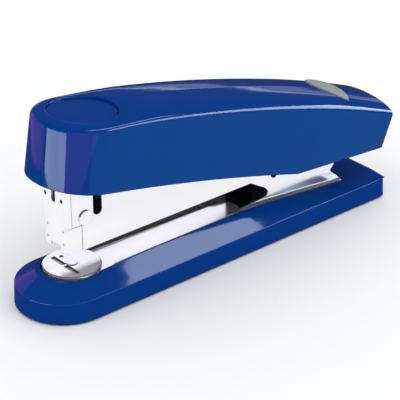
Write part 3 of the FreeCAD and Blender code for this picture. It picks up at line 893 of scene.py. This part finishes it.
def tail_faces(work):
    near, far = columns[0], columns[-1]
    upper = near[ROUND_STEPS:0:-1] + rear_rows[0] + far[1:ROUND_STEPS + 1]
    lower = near[ROUND_STEPS:] + far[:ROUND_STEPS - 1:-1]
    for outline in (upper, lower):
        work.faces.new([work.verts.new(point) for point in outline])


print("tail closed by two flat faces")

# %% [markdown]
# Now the patches become one skin. They share their border points exactly, so welding is enough to
# join them. The normals have to point outwards before the skin gets its thickness, and the highest
# face tells us whether they do.

# %% The cap as one skin
WELD = 4e-6

work = bmesh.new()
skin(work, columns)
skin(work, spokes, closed=True)
skin(work, front_rows)
skin(work, rear_rows)
tail_faces(work)
bmesh.ops.remove_doubles(work, verts=work.verts, dist=WELD)
bmesh.ops.recalc_face_normals(work, faces=work.faces)
highest = max(work.faces, key=lambda face: face.calc_center_median().z)
if highest.normal.z < 0:
    bmesh.ops.reverse_faces(work, faces=work.faces)
cap_faces = len(work.faces)
cap = new_piece("cap_moulding", work)
print("cap skin:", cap_faces, "faces")

# %% [markdown]
# A moulding is a shell of even thickness, and that is what a Solidify modifier makes. We take its
# result as the new mesh, because the next step has to know the finished edges.

# %% The wall's thickness
CAP_SKIN = 1.9

wall = cap.modifiers.new("wall_thickness", "SOLIDIFY")
wall.thickness = CAP_SKIN * MM
wall.offset = -1
shaped = cap.evaluated_get(bpy.context.evaluated_depsgraph_get())
solid = bpy.data.meshes.new_from_object(shaped)
cap.modifiers.clear()
cap.data = solid
print("wall", CAP_SKIN, "mm thick,", len(solid.polygons), "faces")

# %% [markdown]
# The cut edges along the rim and the tail would be razor sharp, so a narrow bevel rounds them. An
# angle limit would also catch the pad's groove and spoil it, so bevel weights pick the edges out.

# %% Rounding the cut edges
CUT_EDGE = 0.4
SHARP_TURN = math.radians(38)
PAD_KEEP = 20                     # no bevel this close to the pad's centre
PAD_KEEP_ABOVE = 72


def near_pad(point):
    """True near the thumb pad, whose fine groove must stay as drawn."""
    near = math.hypot(station(point.x) - PAD_AT, point.y / MM) < PAD_KEEP
    return near and point.z > PAD_KEEP_ABOVE * MM


def weigh_cut_edges(mesh):
    """Marks every sharp edge away from the pad for the narrow bevel."""
    work = bmesh.new()
    work.from_mesh(mesh)
    weights = work.edges.layers.float.new("bevel_weight_edge")
    for edge in work.edges:
        sharp = len(edge.link_faces) == 2 and edge.calc_face_angle(0) > SHARP_TURN
        if sharp and not near_pad(edge.verts[0].co):
            edge[weights] = 1.0
    work.to_mesh(mesh)
    work.free()


weigh_cut_edges(cap.data)
cut = cap.modifiers.new("cut_edges", "BEVEL")
cut.width = CUT_EDGE * MM
cut.segments = 2
cut.limit_method = "WEIGHT"
cut.use_clamp_overlap = False
cap.data.set_sharp_from_angle(angle=math.radians(50))
finish_piece(cap, ["cap_shell"], "handle", "blue_shell")
print("cut edges rounded to", CUT_EDGE, "mm")

# %% [markdown]
# ### Screw posts
#
# Two hollow posts hang under the roof, and the screws that hold the steel lever bite into them.
# A post is a turned shape, so we spin a short outline round its axis rather than use a plain
# cylinder: a wide root, a slim shank and a chamfered mouth with its hole.

# %% Turned shapes
TURN_STEPS = 32


def turned(name, foot, axis, outline):
    """Spins an outline of (radius, height) points, in millimetres, round an axis."""
    axis = Vector(axis).normalized()
    side = axis.orthogonal().normalized()
    other = axis.cross(side)
    rows = []
    for step in range(TURN_STEPS):
        angle = 2 * math.pi * step / TURN_STEPS
        out = side * math.cos(angle) + other * math.sin(angle)
        rows.append([foot + (out * r + axis * h) * MM for r, h in outline])
    work = bmesh.new()
    skin(work, rows, closed=True)
    bmesh.ops.remove_doubles(work, verts=work.verts, dist=SAME_SPOT)
    bmesh.ops.recalc_face_normals(work, faces=work.faces)
    piece = new_piece(name, work)
    piece.data.set_sharp_from_angle(angle=math.radians(35))
    return piece


print("turned shapes have", TURN_STEPS, "sides")

# %% [markdown]
# The posts hang square to the roof, each under its own place on the crease line's curve.

# %% Two screw posts
POST_STATIONS = (62.0, 118.0)
POST_HANG = 6.6
POST_OUTLINE = [
    (1.3, 9.4), (1.3, 1.0), (1.7, 0.6), (2.9, 0.6), (3.2, 0.9), (3.2, 7.6), (4.4, 9.4), (1.3, 9.4),
]


def roof_normal(d):
    """Straight up from the crease line, square to its curve."""
    centre = place(CREASE_CENTRE[0], 0, CREASE_CENTRE[1])
    return (place(d, 0, crease_z(d)) - centre).normalized()


for d in POST_STATIONS:
    foot = place(d, 0, crease_z(d)) + roof_normal(d) * -POST_HANG * MM
    post = turned("cap_post_%d" % d, foot, roof_normal(d), POST_OUTLINE)
    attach(post, "handle")
    post.data.materials.append(finishes["blue_shell"])
print(len(POST_STATIONS), "screw posts")

# %% [markdown]
# ## The release button
#
# A pointed oval of soft grey-green plastic sits in the window and opens the staple drawer. Its top
# swells gently, so light rolls over it. A scaled sphere would bulge too evenly and wouldn't end in
# points. So we lay a grid inside the oval and lift its middle over the roof's own curve.

# %% The button's top
BUTTON_REACH = 14.2
BUTTON_HALF = 6.3
BUTTON_PROUD = 0.35
BUTTON_SWELL = 1.4
SWELL_POWER = 2.6
button_across = np.concatenate([[-14.15, -13.7], np.linspace(-13, 13, 21), [13.7, 14.15]])
button_along = [-1.0, -0.93, -0.8, -0.6, -0.3, 0.0, 0.3, 0.6, 0.8, 0.93, 1.0]
up = roof_normal(BUTTON_AT)


def button_point(along, y):
    half = lens_half(y, BUTTON_REACH, BUTTON_HALF)
    d = BUTTON_AT + along * half
    fullness = half / BUTTON_HALF
    swell = BUTTON_PROUD + BUTTON_SWELL * fullness * (1 - abs(along) ** SWELL_POWER)
    return roof(d, y) + up * swell * MM


button_rows = [[button_point(along, y) for along in button_along] for y in button_across]
print("button", 2 * BUTTON_REACH, "mm across,", 2 * BUTTON_HALF, "mm wide")

# %% [markdown]
# The top alone would be a loose leaf. We pull its border down into a skirt, close the underside and
# roll the upper edge over with a small bevel.

# %% The button's skirt
BUTTON_SKIRT = 3.4
ROLLED_EDGE = 0.35

work = bmesh.new()
skin(work, button_rows)
rims = [edge for edge in work.edges if edge.is_boundary]
grown = bmesh.ops.extrude_edge_only(work, edges=rims)["geom"]
skirt = [v for v in grown if isinstance(v, bmesh.types.BMVert)]
bmesh.ops.translate(work, verts=skirt, vec=up * -BUTTON_SKIRT * MM)
bmesh.ops.holes_fill(work, edges=[e for e in work.edges if e.is_boundary], sides=0)
bmesh.ops.recalc_face_normals(work, faces=work.faces)
button = new_piece("release_button_top", work)
roll = button.modifiers.new("rolled_edge", "BEVEL")
roll.width = ROLLED_EDGE * MM
roll.segments = 3
roll.angle_limit = math.radians(40)
roll.harden_normals = True
button.data.set_sharp_from_angle(angle=math.radians(60))
print("skirt", BUTTON_SKIRT, "mm deep")

# %% [markdown]
# Under the button a short stem reaches down to the latch. It widens towards its root, as a moulded
# stem does, so it is another turned shape.

# %% The button's stem
STEM_DROP = 8.2
STEM_OUTLINE = [(0.0, 0.0), (1.4, 0.0), (1.8, 0.4), (1.8, 7.6), (3.0, 9.0), (0.0, 9.0)]

stem_foot = place(BUTTON_AT, 0, crease_z(BUTTON_AT)) + up * -STEM_DROP * MM
stem = turned("release_button_stem", stem_foot, up, STEM_OUTLINE)
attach(stem, "release_button")
stem.data.materials.append(finishes["button_plastic"])
finish_piece(button, ["release_button"], "release_button", "button_plastic")
print("stem reaches", STEM_DROP, "mm down")

# %% [markdown]
# ## Springs
#
# The engineering model shows each coil spring as a sleeve. A real one is a wire wound round, with
# its end turns closed so that it stands square. We run a small circle along a helix whose pitch is
# tight at both ends.

# %% The rise of a coil
WIRE_SIDES = 10
TURN_POINTS = 28


def rise_of(turn, turns, wire, length):
    """Height along the axis after so many turns: closed, open, closed."""
    free = length - wire
    marks = [0, 1, turns - 1, turns]
    return float(np.interp(turn, marks, [0, wire, free - wire, free])) + wire / 2


print("halfway round, a 10 mm coil of 5 turns is", rise_of(2.5, 5, 1.0, 10.0), "mm up")

# %% [markdown]
# A curve object with a bevel depth would draw the same wire. We lay the rings of faces ourselves,
# because a mesh is what a joint can squash, and its ends can be closed flat.

# %% Winding a wire
def wire_ring(centre, out, axis, wire):
    """The wire's cross-section: a small circle in the plane of the coil's axis."""
    ring = []
    for k in range(WIRE_SIDES + 1):
        tilt = 2 * math.pi * k / WIRE_SIDES
        spot = centre + (out * math.cos(tilt) + axis * math.sin(tilt)) * wire / 2
        ring.append(place(*spot))
    return ring


def spring(name, node, body, turns, wire, along="z"):
    """A wound wire in the place of an engineering sleeve, standing up or lying along x."""
    low, high = span(node)
    if along == "z":
        foot = Vector(((low[0] + high[0]) / 2, 0, low[2]))
        axis, length = Vector((0, 0, 1)), high[2] - low[2]
        radius = (high[0] - low[0]) / 2 - wire / 2
    else:
        foot = Vector((low[0], 0, (low[2] + high[2]) / 2))
        axis, length = Vector((1, 0, 0)), high[0] - low[0]
        radius = (high[2] - low[2]) / 2 - wire / 2
    side = axis.orthogonal().normalized()
    other = axis.cross(side)
    rows = []
    for step in range(int(turns * TURN_POINTS) + 1):
        turn = step / TURN_POINTS
        angle = 2 * math.pi * turn
        out = side * math.cos(angle) + other * math.sin(angle)
        centre = foot + out * radius + axis * rise_of(turn, turns, wire, length)
        rows.append(wire_ring(centre, out, axis, wire))
    work = bmesh.new()
    made = skin(work, rows)
    for end in (made[0], made[-1]):
        work.faces.new(end[:-1])
    bmesh.ops.remove_doubles(work, verts=work.verts, dist=1e-6)
    bmesh.ops.recalc_face_normals(work, faces=work.faces)
    piece = new_piece(name, work)
    piece.data.set_sharp_from_angle(angle=math.radians(50))
    return finish_piece(piece, [node], body, "spring_steel")


print("each wire has", WIRE_SIDES, "sides and", TURN_POINTS, "rings a turn")

# %% [markdown]
# Five springs do five jobs: one lifts the magazine off the base, one lifts the clinching plate, one
# brings the handle back, one holds the latch shut and the long one pushes the staples forward. A
# real spring would keep its wire round as it shortens.

# %% Five springs
lift = spring("lift_coil", "lift_spring", "base", 6.0, 1.1)
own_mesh(lift)
sink = spring("anvil_coil", "anvil_spring", "base", 4.0, 0.9)
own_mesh(sink)
back_coil = spring("return_coil", "return_spring", "magazine_arm", 7.0, 1.0)
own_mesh(back_coil)
hook_coil = spring("latch_coil", "latch_spring", "magazine_arm", 3.5, 0.6)
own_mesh(hook_coil)
feed_coil = spring("feed_coil", "pusher_spring", "drawer", 17.0, 0.7, along="x")
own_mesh(feed_coil)
print("five wound springs")

# %% [markdown]
# ## The floor
#
# A pale floor, wide enough to have no edge in sight, takes a faint soft shadow. A gloss part would
# also mirror it, and a white floor washes the blue out. So the floor shows two faces: its own pale
# paint to the eye, and a dim glow to reflections. A Light Path node tells the two apart, and the
# floor belongs to the stage, not to the stapler.

# %% Floor
FLOOR_HALF = 3.0
FLOOR_PAINT = (0.93, 0.93, 0.94, 1)
FLOOR_GLOW = (0.22, 0.17, 0.30, 1)
FLOOR_GLOW_STRENGTH = 0.2

floor_mesh = bpy.data.meshes.new("floor")
corners = [(x * FLOOR_HALF, y * FLOOR_HALF, 0) for x, y in ((-1, -1), (1, -1), (1, 1), (-1, 1))]
floor_mesh.from_pydata(corners, [], [(0, 1, 2, 3)])
floor = bpy.data.objects.new("floor", floor_mesh)
bpy.context.scene.collection.objects.link(floor)
floor_material, floor_tree, floor_shader = shader_of("pale_floor")
floor_shader.inputs["Base Color"].default_value = FLOOR_PAINT
floor_shader.inputs["Roughness"].default_value = 0.9
floor_shader.inputs["Specular IOR Level"].default_value = 0.1
floor_path = floor_tree.nodes.new("ShaderNodeLightPath")
floor_mirror = floor_tree.nodes.new("ShaderNodeEmission")
floor_mirror.inputs["Color"].default_value = FLOOR_GLOW
floor_mirror.inputs["Strength"].default_value = FLOOR_GLOW_STRENGTH
floor_mix = floor_tree.nodes.new("ShaderNodeMixShader")
floor_out = floor_tree.nodes["Material Output"]
floor_tree.links.new(floor_path.outputs["Is Glossy Ray"], floor_mix.inputs[0])
floor_tree.links.new(floor_shader.outputs["BSDF"], floor_mix.inputs[1])
floor_tree.links.new(floor_mirror.outputs["Emission"], floor_mix.inputs[2])
floor_tree.links.new(floor_mix.outputs["Shader"], floor_out.inputs["Surface"])
floor_mesh.materials.append(floor_material)
print("floor", 2 * FLOOR_HALF, "m square")

# %% [markdown]
# ## The room
#
# A white room lights everything softly from all sides, like a light tent. For reflections the same
# room is a dim violet, which keeps the gloss plastic deep and lets the panels further down draw
# clean streaks on it. One world can do both, again with a Light Path node.

# %% Room
ROOM_WHITE = (1.0, 1.0, 1.0)
ROOM_SOFT = 1.0
ROOM_MIRROR = (0.40, 0.22, 0.75)
ROOM_MIRROR_STRENGTH = 0.16

world = bpy.data.worlds.new("studio")
bpy.context.scene.world = world
world.use_nodes = True
room = world.node_tree
room.nodes.clear()
out = room.nodes.new("ShaderNodeOutputWorld")
path = room.nodes.new("ShaderNodeLightPath")


def room_light(color, strength):
    glow = room.nodes.new("ShaderNodeBackground")
    glow.inputs["Color"].default_value = (*color, 1)
    glow.inputs["Strength"].default_value = strength
    return glow.outputs["Background"]


def room_mix(factor, first, second):
    mix = room.nodes.new("ShaderNodeMixShader")
    room.links.new(factor, mix.inputs[0])
    room.links.new(first, mix.inputs[1])
    room.links.new(second, mix.inputs[2])
    return mix.outputs["Shader"]


soft = room_light(ROOM_WHITE, ROOM_SOFT)
dim = room_light(ROOM_MIRROR, ROOM_MIRROR_STRENGTH)
plain = room_light(ROOM_WHITE, 1.0)
seen = room_mix(path.outputs["Is Glossy Ray"], soft, dim)
seen = room_mix(path.outputs["Is Camera Ray"], seen, plain)
room.links.new(seen, out.inputs["Surface"])
bpy.context.scene.view_settings.view_transform = "Standard"
print("white room, dim for reflections")

# %% [markdown]
# ## Panels
#
# Gloss is only as good as what it mirrors, so a studio hangs white sheets round the object. Ours
# are area lights that reflections see and nothing else does, so moving one shifts a streak and
# leaves the soft light alone. Glowing meshes would work too, but they would be part of the scene.
# Each panel is also tied to certain finishes, because plastic and plate need different things.

# %% A panel and what it touches
def panel(name, centre, target, width, height, color, glow, only_gloss=True):
    """A rectangular light facing its target, in metres; glow is how bright its face looks."""
    light = bpy.data.lights.new(name, "AREA")
    light.shape = "RECTANGLE"
    light.size = width
    light.size_y = height
    light.color = color
    light.energy = glow * math.pi * width * height
    lamp = bpy.data.objects.new(name, light)
    lamp.location = centre
    lamp.rotation_euler = (Vector(target) - Vector(centre)).to_track_quat("-Z", "Y").to_euler()
    lamp.visible_camera = False
    lamp.visible_diffuse = not only_gloss
    lamp.visible_glossy = only_gloss
    bpy.context.scene.collection.objects.link(lamp)
    return lamp


def only_on(lamp, slots):
    """Lets a panel touch only the pieces that carry one of these slots."""
    group = bpy.data.collections.new(lamp.name + "_group")
    wanted = {finishes[slot].name for slot in slots}
    for piece in bpy.data.objects:
        if piece.type == "MESH" and wanted & {m.name for m in piece.data.materials if m}:
            group.objects.link(piece)
    lamp.light_linking.receiver_collection = group


print("panels light what they are told to")

# %% [markdown]
# ### What the plastic mirrors
#
# A strip ahead of the nose paints an upright streak on it, with a violet panel on either side. A
# long oval sheet overhead lies along the base's shoulder. A wide sheet to the right runs a fine
# line along every rounded edge, two low strips behind lift the ridge of the roof off its far side,
# and a big cyan sheet on the floor, off to the right, tints the flat side of the cap.

# %% Panels for the plastic
SKY = (0.72, 0.84, 1.0)
VIOLET = (0.85, 0.12, 1.0)
CYAN = (0.25, 0.85, 1.0)
PLASTICS = ["blue_shell", "button_plastic"]
NOSE = (-0.08, 0.0, 0.052)        # where the panels by the nose aim
NOSE_SIDE = (-0.07, 0.0, 0.05)
NOSE_LOW = (-0.08, 0.0, 0.05)
ROOF = (0, 0, 0.07)

blue_panels = [
    panel("nose_strip", (-0.3075, -0.006, 0.052), NOSE, 0.225, 0.10, SKY, 9.0),
    panel("shoulder_sheet", (0.40, -0.30, 0.70), (0.40, -0.30, 0.0), 0.80, 0.19, SKY, 8.5),
    panel("edge_sheet", (0.90, -0.50, 0.42), (0, 0, 0.05), 1.2, 0.27, SKY, 14.0),
    panel("violet_near", (-0.215, -0.19, 0.06), NOSE_SIDE, 0.46, 0.2, VIOLET, 0.95),
    panel("violet_far", (-0.17, 0.19, 0.06), NOSE_LOW, 0.26, 0.2, VIOLET, 0.9),
    panel("side_fill", (1.5, -1.55, 0.001), (1.5, -1.55, 1.0), 3.2, 3.0, CYAN, 0.8),
    panel("ridge_strip", (0.85, 0.80, 0.175), ROOF, 1.2, 0.025, SKY, 1.5),
    panel("far_glow", (0.85, 0.86, 0.125), ROOF, 1.2, 0.06, SKY, 0.5),
]
shoulder_sheet = blue_panels[1]
shoulder_sheet.data.shape = "ELLIPSE"
for lamp in blue_panels:
    only_on(lamp, PLASTICS)
print(len(blue_panels), "panels for the plastic")

# %% [markdown]
# ### The key light
#
# One lamp does the opposite: it lights surfaces and shows in no reflection. It hangs high in front,
# to the right, and gives the soft shadow its direction.

# %% Key light
KEY_WHITE = (0.97, 1.0, 1.0)
panel("key_light", (0.25, -0.7, 1.3), (0, 0, 0), 1.1, 1.1, KEY_WHITE, 0.9, only_gloss=False)
print("key light hung")

# %% [markdown]
# ### What the bright plate mirrors
#
# Plate has no colour of its own, so it is white where it sees white and dark along its edges, where
# it sees the dim room. A sheet behind the stapler covers its upright faces and a panel flat on the
# floor covers the rest.

# %% Panels for the plate
WHITE = (1.0, 1.0, 1.0)
METALS = ["chrome", "steel", "spring_steel"]
chrome_panels = [
    panel("chrome_sheet", (0.55, 0.60, 0.52), (0, 0, 0.02), 0.9, 0.45, WHITE, 1.1),
    panel("chrome_floor", (0.0, 0.0, 0.0005), (0.0, 0.0, 1.0), 3.0, 3.0, WHITE, 1.03),
]
for lamp in chrome_panels:
    only_on(lamp, METALS)
print(len(chrome_panels), "panels for the plate")
